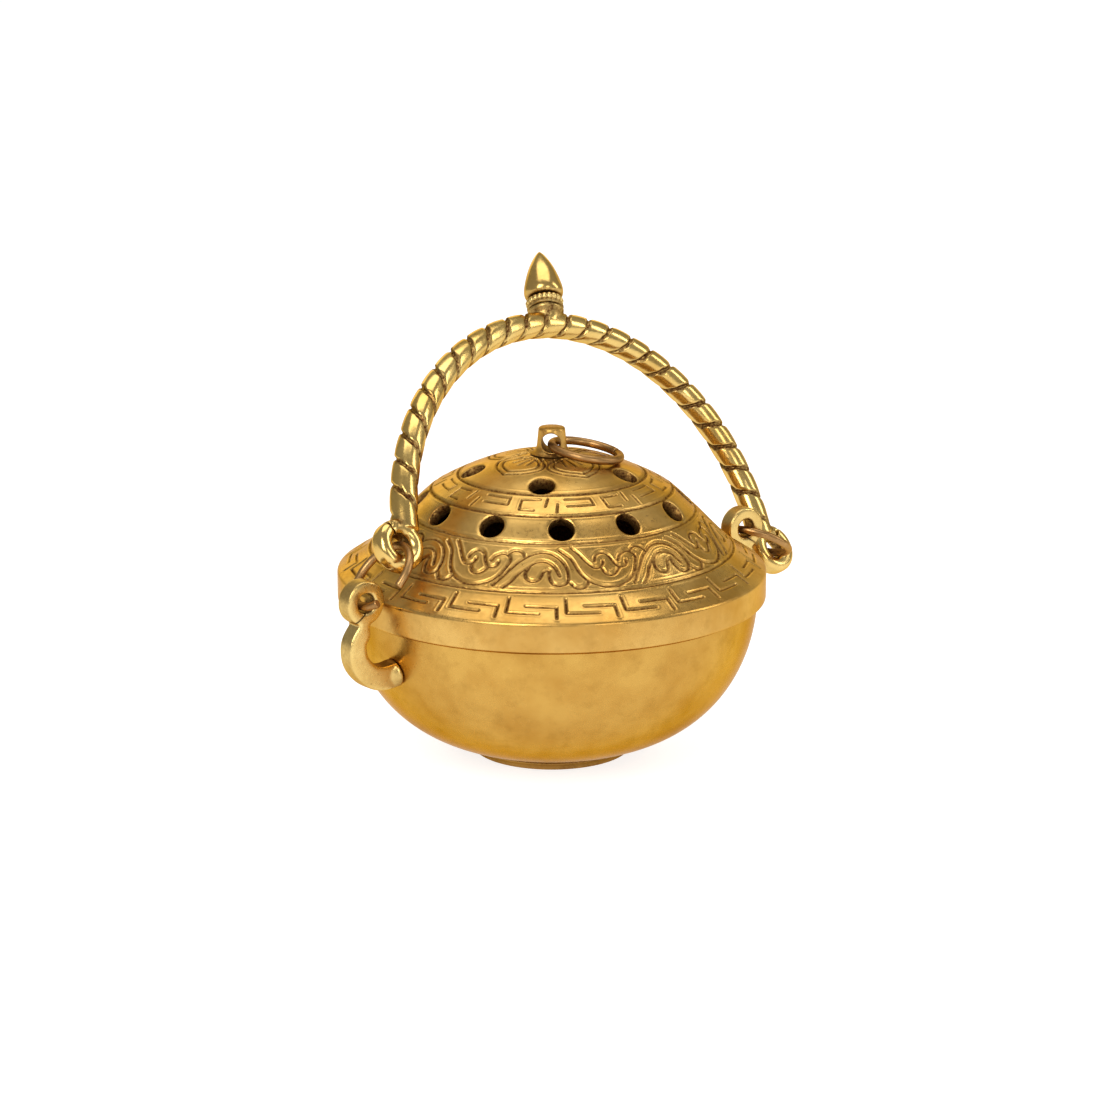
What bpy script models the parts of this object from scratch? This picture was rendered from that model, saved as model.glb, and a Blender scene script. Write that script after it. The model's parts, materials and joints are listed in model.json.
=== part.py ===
"""Thurible censer: a round brass incense burner with a domed, pierced lid and a twisted-rope handle.

Units are metres, +Z up. The origin is the centre of the foot's underside and +X points to the
right-hand lug. The handle leans back on its two links, as it comes to rest on the real burner.
"""
import math

import bmesh
import bpy
from mathutils import Matrix, Vector

MM = 0.001
GAP = 0.3 * MM                        # clearance between two pieces that touch

# Bowl: the outside is a superellipse, flat at the foot
BOWL_RADIUS = 52.0 * MM
BOWL_WALL = 3.1 * MM
BOWL_EQUATOR_Z = 42.6 * MM            # height at which the superellipse would be widest
BOWL_DEPTH = 41.5 * MM
BOWL_FLOOR = 4.5 * MM
BOWL_RIM_Z = 40.0 * MM
BOWL_BASE_Z = 2.9 * MM
BOWL_POWERS = (2.11, 2.84)            # vertical and radial powers of the superellipse

FOOT_RADIUS = 20.2 * MM
FOOT_TOP_RADIUS = 21.4 * MM
FOOT_RECESS = (7.0 * MM, 16.0 * MM, 0.8 * MM)   # inner radius, outer radius, depth

# Lid: heights are from the foot; the seat face rests on the bowl's rim
LID_SEAT_Z = BOWL_RIM_Z + GAP
LIP_OUTER = 48.3 * MM
LIP_INNER = 46.3 * MM
LIP_DROP = 2.0 * MM
RING_HOLES = (12, 33.2 * MM, 65.35 * MM, 3.15 * MM, 42.4, 237.0)  # count, r, z, hole r, tilt, first
TOP_HOLES = (5, 20.0 * MM, 72.9 * MM, 3.2 * MM, 20.2, 226.0)

STUD_RADIUS = 2.0 * MM                # the post's stud through the dome
POST_HOLE_Z = 79.8 * MM
POST_HOLE_RADIUS = 2.4 * MM
POST_HOLE_AZIMUTH = 229.0
LID_RING_RADIUS = 8.7 * MM
LID_RING_DROOP = 10.7
LID_RING_SAG = 0.8 * MM               # the wire lies low in the post's hole
LID_RING_SLIT = (118.0, 4.0)          # where the ring's ends meet, and their gap in degrees

WIRE_RADIUS = 1.05 * MM

# Lugs: S-shaped scrolls standing radially on the bowl, with an eye on top
LUG_EYE_RADIUS = 60.2 * MM            # from the bowl's axis to the eye's centre
LUG_EYE_Z = 49.0 * MM
LUG_EYE_OUTER = 5.5 * MM
LUG_HOLE_RADIUS = 2.7 * MM
LUG_THICKNESS = 4.6 * MM
LUG_MOUTH = 1.4 * MM                  # rounding of the hole's two mouths
LUG_AZIMUTHS = {"left_lug": 183.7, "right_lug": -3.0}
LUG_STROKE = (                        # centre line from the eye to the bowl: out, up, half-width
    (-1.6, -4.6, 2.5), (0.2, -6.6, 2.3), (1.4, -8.1, 2.35), (2.4, -9.9, 2.45), (2.5, -12.2, 2.6),
    (1.8, -14.9, 2.7), (-0.4, -17.6, 2.85), (-3.4, -19.4, 3.0), (-7.0, -19.8, 3.1), (-11.5, -19.0, 3.1),
)

# Handle: a nearly half-round rope arch between two eyes, leaning back
HANDLE_LEFT_EYE = Vector((-49.05, -3.47, 60.9)) * MM
HANDLE_RIGHT_EYE = Vector((74.55, 1.63, 39.5)) * MM
HANDLE_LEAN = 33.0
ARCH_RADIUS = 60.0 * MM               # half the arch's width
ARCH_RISE = 62.7 * MM
ARCH_SKEW = 6.6 * MM                  # how far its crown stands to the right
ROPE_RADIUS = 3.5 * MM
ROPE_START = 3.5                      # degrees above the chord where the rope meets its eye
EYE_RADIUS = 6.7 * MM
EYE_EDGE = 1.9 * MM                   # rounding of the eye's rim
EYE_THICKNESS = 5.4 * MM
EYE_HOLE_RADIUS = 2.65 * MM
EYE_MOUTH = 1.9 * MM
FINIAL_PLACE = 92.8                   # where the finial stands, in degrees along the arch
FINIAL_TILT = 10.2                    # degrees to the right of the handle's upright axis
BOSS_TOP = 4.3 * MM                   # along the finial's axis, from the rope's centre
BOSS_RADIUS = 4.8 * MM
COLLAR_HEIGHT = 3.2 * MM
COLLAR_RADIUS = 5.1 * MM
BUD_RADIUS = 5.2 * MM
BUD_HEIGHT = 13.9 * MM
STEM_RADIUS = 1.2 * MM
SOCKET_DEPTH = 3.0 * MM

LINK_RADIUS = 8.8 * MM                # mean radius of the two links
LINK_BLEND = 0.4                      # how far a link turns from the lug's hole to the eye's
LINK_SHIFTS = {                       # how each link hangs off centre: to the eye, back, square
    "left_link": Vector((-0.3, -1.5, 0.0)) * MM,
    "right_link": Vector((0.3, 0.0, -0.6)) * MM,
}
LEFT_LINK_SLIT = (239.0, 44.0)        # middle of the opening from the handle's eye, and its width

TURN_SEGMENTS = 48

BRASS = (0.80, 0.52, 0.20)
DARK_BRASS = (0.62, 0.38, 0.14)
PALE_BRASS = (0.86, 0.62, 0.30)
COPPER_BRASS = (0.70, 0.38, 0.18)


def clear_scene():
    for obj in list(bpy.data.objects):
        bpy.data.objects.remove(obj, do_unlink=True)


def make_material(name, colour, roughness):
    material = bpy.data.materials.new(name)
    material.use_nodes = True
    shader = material.node_tree.nodes["Principled BSDF"]
    shader.inputs["Base Color"].default_value = (*colour, 1.0)
    shader.inputs["Metallic"].default_value = 1.0
    shader.inputs["Roughness"].default_value = roughness
    return material


def add_object(name, bm, material=None, parent=None):
    """Turn a bmesh into a named object with outward faces and smooth shading."""
    bmesh.ops.recalc_face_normals(bm, faces=bm.faces)
    mesh = bpy.data.meshes.new(name)
    bm.to_mesh(mesh)
    bm.free()
    mesh.shade_smooth()
    mesh.set_sharp_from_angle(angle=math.radians(35))
    obj = bpy.data.objects.new(name, mesh)
    bpy.context.collection.objects.link(obj)
    if material:
        mesh.materials.append(material)
    if parent:
        obj.parent = parent
    return obj


def add_empty(name, matrix):
    empty = bpy.data.objects.new(name, None)
    bpy.context.collection.objects.link(empty)
    empty.matrix_world = matrix
    bpy.context.view_layer.update()
    return empty


def revolve(outline, segments=TURN_SEGMENTS):
    """Turn an outline of (radius, height) points, whose two ends lie on the axis, about Z."""
    bm = bmesh.new()
    rings = []
    for radius, height in outline:
        if radius < 1e-7:
            rings.append([bm.verts.new((0.0, 0.0, height))] * segments)
            continue
        turn = [2 * math.pi * k / segments for k in range(segments)]
        rings.append([bm.verts.new((radius * math.cos(a), radius * math.sin(a), height)) for a in turn])
    for lower, upper in zip(rings, rings[1:]):
        for k in range(segments):
            n = (k + 1) % segments
            corners = []
            for vert in (lower[k], lower[n], upper[n], upper[k]):
                if vert not in corners:
                    corners.append(vert)
            bm.faces.new(corners)
    return bm


def sweep(points, radius, sides, closed=False):
    """Sweep a round section along points; the section turns with the path's own plane."""
    bm = bmesh.new()
    count = len(points)
    normal = (points[1] - points[0]).cross(points[2] - points[0]).normalized()
    rings = []
    for i, point in enumerate(points):
        before = points[i - 1] if closed or i else points[0]
        after = points[(i + 1) % count] if closed or i < count - 1 else points[-1]
        side = (after - before).normalized().cross(normal)
        ring = []
        for k in range(sides):
            angle = 2 * math.pi * k / sides
            offset = side * (radius * math.cos(angle)) + normal * (radius * math.sin(angle))
            ring.append(bm.verts.new(point + offset))
        rings.append(ring)
    pairs = list(zip(rings, rings[1:]))
    if closed:
        pairs.append((rings[-1], rings[0]))
    else:
        bm.faces.new(rings[0])
        bm.faces.new(rings[-1])
    for first, second in pairs:
        for k in range(sides):
            n = (k + 1) % sides
            bm.faces.new((first[k], first[n], second[n], second[k]))
    return bm


def arc_points(radius, start, end, count):
    """Points on a circle in the XY plane, from start to end in degrees, both included."""
    steps = [math.radians(start + (end - start) * i / (count - 1)) for i in range(count)]
    return [Vector((radius * math.cos(a), radius * math.sin(a), 0.0)) for a in steps]


def wire_ring(radius, slit, count=30):
    """A bent-wire ring in the XY plane; slit is (middle, width) in degrees, or None."""
    if slit is None:
        return sweep(arc_points(radius, 0.0, 360.0, count + 1)[:-1], WIRE_RADIUS, 8, closed=True)
    middle, width = slit
    points = arc_points(radius, middle + width / 2, middle + 360.0 - width / 2, count)
    return sweep(points, WIRE_RADIUS, 8)


def cylinder(bm, radius, length, matrix, sides=16):
    bmesh.ops.create_cone(
        bm, cap_ends=True, segments=sides, radius1=radius, radius2=radius, depth=length, matrix=matrix)


def combine(obj, tool, operation):
    """Boolean with a tool object, which is hidden from renders."""
    tool.hide_render = True
    tool.display_type = "WIRE"
    modifier = obj.modifiers.new(tool.name, "BOOLEAN")
    modifier.operation = operation
    modifier.object = tool


def axes_matrix(origin, x_axis, z_axis):
    """A frame at origin with the given X and Z directions, made square."""
    x_axis = x_axis.normalized()
    y_axis = z_axis.cross(x_axis).normalized()
    z_axis = x_axis.cross(y_axis)
    frame = Matrix((x_axis, y_axis, z_axis)).transposed().to_4x4()
    return Matrix.Translation(origin) @ frame


def superellipse(radius, depth, z_start, z_end, count, offset=0.0):
    """Points of the bowl's curve from height z_start to z_end, evenly spaced in its own angle."""
    power_z, power_r = BOWL_POWERS

    def angle_at(z):
        return math.asin(min(1.0, (BOWL_EQUATOR_Z - z) / depth) ** (power_z / 2))

    first, last = angle_at(z_start), angle_at(z_end)
    points = []
    for i in range(count):
        angle = first + (last - first) * i / (count - 1)
        height = BOWL_EQUATOR_Z - depth * math.sin(angle) ** (2 / power_z)
        points.append((radius * max(0.0, math.cos(angle)) ** (2 / power_r) + offset, height))
    return points


def build_bowl(material):
    outer = superellipse(BOWL_RADIUS, BOWL_DEPTH, BOWL_BASE_Z, BOWL_RIM_Z, 13)
    inner_radius, inner_depth = BOWL_RADIUS - BOWL_WALL, BOWL_DEPTH - BOWL_FLOOR
    floor_z = BOWL_EQUATOR_Z - inner_depth
    inner = superellipse(inner_radius, inner_depth, BOWL_RIM_Z, floor_z, 11)[:-1]
    outline = [(0.0, BOWL_BASE_Z)] + outer + inner + [(0.0, floor_z)]
    add_object("bowl_shell", revolve(outline), material)


def build_foot(material):
    inner, outer, depth = FOOT_RECESS
    top = BOWL_BASE_Z - GAP
    outline = [
        (0.0, 0.0), (inner, 0.0), (inner + depth, depth), (outer - depth, depth), (outer, 0.0),
        (FOOT_RADIUS - 0.5 * MM, 0.0), (FOOT_RADIUS, 0.4 * MM), (FOOT_RADIUS + 0.3 * MM, 1.2 * MM),
        (FOOT_TOP_RADIUS, 2.1 * MM), (FOOT_TOP_RADIUS, top - 0.2 * MM), (FOOT_TOP_RADIUS - 0.4 * MM, top),
        (0.0, top),
    ]
    add_object("foot", revolve(outline), material)


def lug_outline():
    """The lug's side view: the eye's round, then both edges of the stroke down to the bowl."""
    centre = [Vector((out, up)) * MM for out, up, _ in LUG_STROKE]
    widths = [width * MM for _, _, width in LUG_STROKE]
    outer_edge, inner_edge = [], []
    for i in range(1, len(centre)):
        after = centre[min(i + 1, len(centre) - 1)]
        along = (after - centre[i - 1]).normalized()
        left = Vector((-along.y, along.x)) * widths[i]
        outer_edge.append(centre[i] + left)
        inner_edge.append(centre[i] - left)
    leave = outer_edge[0]
    arrive = inner_edge[0]
    start = math.atan2(arrive.y, arrive.x)
    end = math.atan2(leave.y, leave.x)
    if start > 0:
        start -= 2 * math.pi
    sweep_angle = (start - end) % (2 * math.pi)
    count = 22
    eye = []
    for i in range(count + 1):
        angle = end + sweep_angle * i / count
        eye.append(Vector((math.cos(angle), math.sin(angle))) * LUG_EYE_OUTER)
    return eye + inner_edge[1:] + outer_edge[:0:-1]


def rounded_hole(radius, thickness, mouth):
    """The space of a hole whose two mouths are rounded, as an outline to turn about Z."""
    half, wide = thickness / 2, radius + 1.5 * mouth
    points = [(0.0, -2 * thickness), (wide, -2 * thickness)]
    for sign, angles in ((-1, (80, 55, 28, 0)), (1, (0, 28, 55, 80))):
        for angle in angles:
            turn = math.radians(angle)
            out = radius + mouth * (1 - math.cos(turn))
            points.append((out, sign * (half - mouth + mouth * math.sin(turn))))
    return points + [(wide, 2 * thickness), (0.0, 2 * thickness)]


def build_lug(name, azimuth, material, bowl_clearance):
    bm = bmesh.new()
    half = LUG_THICKNESS / 2
    corners = [bm.verts.new((p.x, -half, p.y)) for p in lug_outline()]
    face = bm.faces.new(corners)
    extruded = bmesh.ops.extrude_face_region(bm, geom=[face])
    moved = [item for item in extruded["geom"] if isinstance(item, bmesh.types.BMVert)]
    bmesh.ops.translate(bm, verts=moved, vec=(0.0, LUG_THICKNESS, 0.0))
    lug = add_object(name, bm, material)
    turn = math.radians(azimuth)
    lug.location = (LUG_EYE_RADIUS * math.cos(turn), LUG_EYE_RADIUS * math.sin(turn), LUG_EYE_Z)
    lug.rotation_euler.z = turn
    bevel = lug.modifiers.new("rounded_edges", "BEVEL")
    bevel.width = 0.8 * MM
    bevel.segments = 2
    bevel.limit_method = "ANGLE"
    bevel.angle_limit = math.radians(50)
    hole = rounded_hole(LUG_HOLE_RADIUS, LUG_THICKNESS, LUG_MOUTH)
    drill = add_object(name + "_drill", revolve(hole, 20), parent=lug)
    drill.rotation_euler.x = math.pi / 2
    combine(lug, drill, "DIFFERENCE")
    combine(lug, bowl_clearance, "DIFFERENCE")


def build_bowl_clearance():
    """The bowl's outside, one gap larger, which shapes the ends of the lugs."""
    outer = superellipse(BOWL_RADIUS, BOWL_DEPTH, BOWL_BASE_Z, BOWL_RIM_Z, 25, 1.3 * GAP)
    outline = [(0.0, BOWL_BASE_Z)] + outer + [(0.0, BOWL_RIM_Z)]
    return add_object("bowl_clearance", revolve(outline, 2 * TURN_SEGMENTS))


def drill_pattern(bm, count, radius, height, hole_radius, tilt, first):
    """Cylinders square to the dome's slope, spaced evenly round the axis."""
    for k in range(count):
        turn = Matrix.Rotation(math.radians(first + 360.0 * k / count), 4, "Z")
        place = Matrix.Translation((radius, 0.0, height)) @ Matrix.Rotation(math.radians(tilt), 4, "Y")
        cylinder(bm, hole_radius, 12 * MM, turn @ place)


def build_lid(material):
    outside = [
        (0.0, 76.8), (6.3, 76.4), (12.6, 75.6), (18.2, 73.9), (23.5, 71.6), (30.3, 68.0), (36.1, 62.7),
        (45.7, 53.2), (53.0, 48.1), (54.0, 47.05), (54.0, 41.0), (52.4, 40.3),
    ]
    inside = [
        (46.3, 47.6), (43.9, 50.5), (34.3, 60.3), (28.8, 65.3), (22.4, 68.7), (12.0, 72.7), (0.0, 73.9),
    ]
    lip = [(LIP_OUTER, LID_SEAT_Z), (LIP_OUTER, LID_SEAT_Z - LIP_DROP), (LIP_INNER, LID_SEAT_Z - LIP_DROP)]
    outline = [(r * MM, z * MM) for r, z in outside] + lip + [(r * MM, z * MM) for r, z in inside]
    lid = add_object("lid_dome", revolve(outline), material)
    holes = bmesh.new()
    drill_pattern(holes, *RING_HOLES)
    drill_pattern(holes, *TOP_HOLES)
    cylinder(holes, STUD_RADIUS + GAP, 12 * MM, Matrix.Translation((0.0, 0.0, 75.0 * MM)), 20)
    combine(lid, add_object("lid_drills", holes), "DIFFERENCE")
    return lid


def build_post(material):
    """The ring's post, with a stud through the dome that is riveted over on the inside."""
    stud = STUD_RADIUS / MM
    outline = [
        (0.0, 71.9), (2.2, 72.0), (3.2, 72.7), (3.2, 73.2), (stud, 73.3), (stud, 77.0), (5.5, 76.72),
        (5.45, 76.95), (4.3, 77.35), (3.75, 78.1), (3.6, 79.2), (3.35, 82.9), (2.95, 83.3), (0.0, 83.3),
    ]
    post = add_object("lid_post", revolve([(r * MM, z * MM) for r, z in outline], 24), material)
    hole = bmesh.new()
    turn = Matrix.Rotation(math.radians(POST_HOLE_AZIMUTH), 4, "Z")
    place = turn @ Matrix.Rotation(math.pi / 2, 4, "Y")
    cylinder(hole, POST_HOLE_RADIUS, 20 * MM, Matrix.Translation((0, 0, POST_HOLE_Z)) @ place, 20)
    combine(post, add_object("post_drill", hole), "DIFFERENCE")
    return post


def build_lid_ring(material):
    """The lid's ring; its origin is where its wire crosses the post, its X is the hinge axis."""
    turn = Matrix.Rotation(math.radians(POST_HOLE_AZIMUTH), 4, "Z")
    droop = Matrix.Rotation(math.radians(-LID_RING_DROOP), 4, "X")
    bm = wire_ring(LID_RING_RADIUS, LID_RING_SLIT)
    bmesh.ops.translate(bm, verts=bm.verts, vec=(0.0, LID_RING_RADIUS, 0.0))
    ring = add_object("lid_ring", bm, material)
    pivot = Matrix.Translation((0.0, 0.0, POST_HOLE_Z - LID_RING_SAG))
    ring.matrix_world = pivot @ turn @ droop
    return ring


def handle_frame():
    """The handle's frame: X from the left eye to the right, Z up the arch, at the chord's middle."""
    chord = HANDLE_RIGHT_EYE - HANDLE_LEFT_EYE
    middle = (HANDLE_LEFT_EYE + HANDLE_RIGHT_EYE) / 2
    upright = axes_matrix(middle, chord, Vector((0.0, 0.0, 1.0)))
    return upright @ Matrix.Rotation(math.radians(-HANDLE_LEAN), 4, "X")


def eye_outline():
    """A thick round-edged disc without its hole."""
    half, edge = EYE_THICKNESS / 2, EYE_EDGE
    points = [(0.0, -half)]
    for sign, angles in ((-1, (-90, -60, -30, 0)), (1, (0, 30, 60, 90))):
        for angle in angles:
            turn = math.radians(angle)
            radius = EYE_RADIUS - edge + edge * math.cos(turn)
            points.append((radius, sign * (half - edge) + edge * math.sin(turn)))
    return points + [(0.0, half)]


def arch_point(degrees):
    """A point on the rope's centre line, in the handle's frame, counted from the right eye."""
    turn = math.radians(degrees)
    across = ARCH_RADIUS * math.cos(turn) + ARCH_SKEW * math.sin(turn)
    return Vector((across, 0.0, ARCH_RISE * math.sin(turn)))


def build_bail(material, parent):
    count = 33
    sweep_angle = 180.0 - 2 * ROPE_START
    path = [arch_point(ROPE_START + sweep_angle * k / (count - 1)) for k in range(count)]
    bail = add_object("bail", sweep(path, ROPE_RADIUS, 12), material, parent)
    half_chord = (HANDLE_RIGHT_EYE - HANDLE_LEFT_EYE).length / 2
    holes = []
    for name, x in (("left_eye", -half_chord), ("right_eye", half_chord)):
        blank = add_object(name + "_blank", revolve(eye_outline(), 24), parent=parent)
        hole = rounded_hole(EYE_HOLE_RADIUS, EYE_THICKNESS, EYE_MOUTH)
        drill = add_object(name + "_drill", revolve(hole, 20), parent=parent)
        for tool in (blank, drill):
            tool.location.x = x
            tool.rotation_euler.x = math.pi / 2
        combine(bail, blank, "UNION")
        holes.append(drill)
    low = -ROPE_RADIUS / 2
    boss = [
        (0.0, low), (3.2 * MM, low), (BOSS_RADIUS, BOSS_TOP - 1.2 * MM), (BOSS_RADIUS, BOSS_TOP),
        (0.0, BOSS_TOP),
    ]
    seat = add_object("finial_seat", revolve(boss, 20), parent=parent)
    seat.matrix_local = finial_frame()
    combine(bail, seat, "UNION")
    hole = bmesh.new()
    cylinder(hole, STEM_RADIUS + GAP, 2 * SOCKET_DEPTH, Matrix.Translation((0.0, 0.0, BOSS_TOP)), 16)
    socket = add_object("finial_socket", hole, parent=parent)
    socket.matrix_local = finial_frame()
    holes.append(socket)
    for drill in holes:
        combine(bail, drill, "DIFFERENCE")


def finial_frame():
    """The finial's frame in the handle's: the origin is on the rope's centre line, Z points to the tip."""
    tilt = Matrix.Rotation(math.radians(FINIAL_TILT), 4, "Y")
    return Matrix.Translation(arch_point(FINIAL_PLACE)) @ tilt


def build_finial(collar_material, bud_material, parent):
    bore = STEM_RADIUS + GAP
    half = COLLAR_HEIGHT / 2
    section = []
    for angle in range(-90, 91, 30):
        turn = math.radians(angle)
        section.append((COLLAR_RADIUS - half + half * math.cos(turn), half + half * math.sin(turn)))
    outline = [(0.0, 0.0)] + section + [(0.0, COLLAR_HEIGHT)]
    collar = add_object("finial_collar", revolve(outline, 24), collar_material, parent)
    collar.matrix_local = finial_frame() @ Matrix.Translation((0.0, 0.0, BOSS_TOP + GAP))
    drill = bmesh.new()
    cylinder(drill, bore, 4 * COLLAR_HEIGHT, Matrix.Identity(4), 16)
    combine(collar, add_object("collar_drill", drill, parent=collar), "DIFFERENCE")

    seat_z = BOSS_TOP + COLLAR_HEIGHT + 2 * GAP
    reach = seat_z - BOSS_TOP + 0.8 * SOCKET_DEPTH
    outline = [(0.0, -reach), (STEM_RADIUS, -reach), (STEM_RADIUS, 0.0)]
    shape = (
        (0.9, 0.0), (0.97, 0.05), (1.0, 0.12), (0.97, 0.22), (0.89, 0.35), (0.77, 0.5), (0.62, 0.65),
        (0.43, 0.8), (0.22, 0.92), (0.0, 1.0),
    )
    outline += [(BUD_RADIUS * width, BUD_HEIGHT * height) for width, height in shape]
    bud = add_object("finial_bud", revolve(outline, 24), bud_material, parent)
    bud.matrix_local = finial_frame() @ Matrix.Translation((0.0, 0.0, seat_z))


def build_link(name, lug, eye, eye_axis, slit, material):
    """A wire ring through a lug's hole and a handle's eye; its X points to the handle's eye."""
    turn = math.radians(LUG_AZIMUTHS[lug])
    lug_hole = Vector((LUG_EYE_RADIUS * math.cos(turn), LUG_EYE_RADIUS * math.sin(turn), LUG_EYE_Z))
    lug_axis = Vector((-math.sin(turn), math.cos(turn), 0.0))
    if lug_axis.dot(eye_axis) < 0:
        lug_axis.negate()
    across = lug_axis.lerp(eye_axis, LINK_BLEND)
    towards = eye - lug_hole
    middle = axes_matrix((eye + lug_hole) / 2, towards, towards.cross(across))
    link = add_object(name, wire_ring(LINK_RADIUS, slit), material)
    link.matrix_world = middle @ Matrix.Translation(LINK_SHIFTS[name])


def main():
    clear_scene()
    brass = make_material("polished_brass", BRASS, 0.22)
    dark = make_material("patinated_brass", DARK_BRASS, 0.38)
    pale = make_material("burnished_brass", PALE_BRASS, 0.2)
    wire = make_material("copper_wire", COPPER_BRASS, 0.3)

    build_bowl(brass)
    build_foot(dark)
    clearance = build_bowl_clearance()
    for name, azimuth in LUG_AZIMUTHS.items():
        build_lug(name, azimuth, pale, clearance)

    lid_lift = add_empty("lid_lift", Matrix.Translation((0.0, 0.0, LID_SEAT_Z)))
    pieces = [build_lid(brass), build_post(pale), build_lid_ring(wire)]
    for piece in pieces:
        piece.parent = lid_lift
        piece.matrix_parent_inverse = lid_lift.matrix_world.inverted()

    frame = handle_frame()
    handle_swing = add_empty("handle_swing", frame)
    build_bail(brass, handle_swing)
    build_finial(dark, pale, handle_swing)
    eye_axis = frame.to_3x3() @ Vector((0.0, 1.0, 0.0))
    build_link("left_link", "left_lug", HANDLE_LEFT_EYE, eye_axis, LEFT_LINK_SLIT, wire)
    build_link("right_link", "right_lug", HANDLE_RIGHT_EYE, eye_axis, None, wire)


main()
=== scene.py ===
"""Looks of the thurible censer: engraved lid, polished bowl, twisted-rope handle, lugs and wire rings.

Shapes are worked out in millimetres in the CAD frame (+Z up, origin under the foot) and scaled by MM.
"""
import json
import math

import bmesh
import bpy
import numpy as np
from mathutils import Matrix, Vector


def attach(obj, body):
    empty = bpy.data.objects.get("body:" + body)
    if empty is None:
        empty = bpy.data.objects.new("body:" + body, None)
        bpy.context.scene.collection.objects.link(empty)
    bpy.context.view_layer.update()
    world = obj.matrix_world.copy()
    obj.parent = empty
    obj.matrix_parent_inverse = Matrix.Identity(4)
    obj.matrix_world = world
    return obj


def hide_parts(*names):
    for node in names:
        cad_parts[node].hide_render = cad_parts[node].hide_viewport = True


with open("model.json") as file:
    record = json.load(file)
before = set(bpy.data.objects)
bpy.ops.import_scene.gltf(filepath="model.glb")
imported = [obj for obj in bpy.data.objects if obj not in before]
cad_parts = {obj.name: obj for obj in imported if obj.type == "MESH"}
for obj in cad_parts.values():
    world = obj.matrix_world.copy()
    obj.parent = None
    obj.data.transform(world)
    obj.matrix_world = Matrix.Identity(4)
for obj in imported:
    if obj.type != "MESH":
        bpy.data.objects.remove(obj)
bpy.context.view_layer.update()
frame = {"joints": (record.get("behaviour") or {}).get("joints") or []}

MM = 0.001

# The camera looks along this azimuth and down by this elevation, from afar
VIEW_AZIMUTH = 53.0
VIEW_ELEVATION = 14.7
VIEW_DISTANCE = 756.9
VIEW_TARGET = Vector((0.0, 0.0, 47.05))
VIEW_RAISE = 4.36
VIEW_LEFT = 0.45
LENS = 98.2

# Dark brown of patina, made darker still so that it also paints the shade inside holes
PATINA_AND_SHADE_COLOUR = (0.085, 0.028, 0.008)
EDGE_TINT = (0.80, 0.58, 0.34, 1.0)     # brass stays warm where it is seen edge-on

JOINTS = {joint["name"]: joint for joint in frame["joints"]}


# ---------------------------------------------------------------- mesh helpers

def new_object(name, verts_mm, faces):
    """A mesh object from vertices in millimetres."""
    mesh = bpy.data.meshes.new(name)
    mesh.from_pydata((np.asarray(verts_mm, float) * MM).tolist(), [], faces)
    mesh.validate()
    obj = bpy.data.objects.new(name, mesh)
    bpy.context.collection.objects.link(obj)
    return obj


def outward(obj):
    """Make all faces point out."""
    bm = bmesh.new()
    bm.from_mesh(obj.data)
    bmesh.ops.recalc_face_normals(bm, faces=bm.faces)
    bm.to_mesh(obj.data)
    bm.free()


def grid_faces(rows, cols, close_rows, close_cols):
    """Quads of a rows-by-cols grid of vertices, wrapped round where asked."""
    r = np.arange(rows if close_rows else rows - 1)
    c = np.arange(cols if close_cols else cols - 1)
    rr, cc = np.meshgrid(r, c, indexing="ij")
    r2, c2 = (rr + 1) % rows, (cc + 1) % cols
    quads = np.stack([rr * cols + cc, rr * cols + c2, r2 * cols + c2, r2 * cols + cc], axis=-1)
    return quads.reshape(-1, 4).tolist()


def tube(name, rings, closed=False):
    """A closed surface through a list of rings of points; open ends get a flat cap."""
    rings = np.asarray(rings, float)
    rows, cols = rings.shape[:2]
    faces = grid_faces(rows, cols, closed, True)
    if not closed:
        faces.append(list(range(cols)))
        faces.append(list(range((rows - 1) * cols, rows * cols)))
    obj = new_object(name, rings.reshape(-1, 3), faces)
    outward(obj)
    return obj


def turned(name, profile, segments=128):
    """A closed surface turned about Z from (radius, height) points whose ends lie on the axis."""
    turn = np.linspace(0.0, 2 * np.pi, segments, endpoint=False)
    inner = [(r, z) for r, z in profile if r > 1e-6]
    rings = [np.stack([r * np.cos(turn), r * np.sin(turn), np.full(segments, z)], axis=-1) for r, z in inner]
    verts = np.concatenate([np.concatenate(rings), [[0, 0, profile[0][1]], [0, 0, profile[-1][1]]]])
    faces = grid_faces(len(inner), segments, False, True)
    low, high = len(verts) - 2, len(verts) - 1
    last = (len(inner) - 1) * segments
    for k in range(segments):
        n = (k + 1) % segments
        faces.append([low, k, n])
        faces.append([high, last + n, last + k])
    obj = new_object(name, verts, faces)
    outward(obj)
    return obj


def smooth(points, steps):
    """Catmull-Rom curve through points of any dimension, steps per span."""
    points = np.asarray(points, float)
    padded = np.vstack([2 * points[0] - points[1], points, 2 * points[-1] - points[-2]])
    out = []
    for i in range(1, len(padded) - 2):
        p0, p1, p2, p3 = padded[i - 1:i + 3]
        for t in np.linspace(0, 1, steps, endpoint=False):
            out.append(0.5 * (2 * p1 + (p2 - p0) * t + (2 * p0 - 5 * p1 + 4 * p2 - p3) * t ** 2
                              + (3 * p1 - p0 - 3 * p2 + p3) * t ** 3))
    out.append(points[-1])
    return np.array(out)


def arc(centre, radius, start, end, count):
    """Points of a round corner in two dimensions, angles in degrees."""
    angles = np.radians(np.linspace(start, end, count))
    return [(centre[0] + radius * math.cos(a), centre[1] + radius * math.sin(a)) for a in angles]


def cut(obj, tools, operation="DIFFERENCE"):
    """Boolean with closed tool objects, applied, and the tools removed."""
    for tool in tools:
        modifier = obj.modifiers.new("cut", "BOOLEAN")
        modifier.operation = operation
        modifier.solver = "MANIFOLD"
        modifier.object = tool
    bake_modifiers(obj)
    for tool in tools:
        bpy.data.objects.remove(tool, do_unlink=True)


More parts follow.
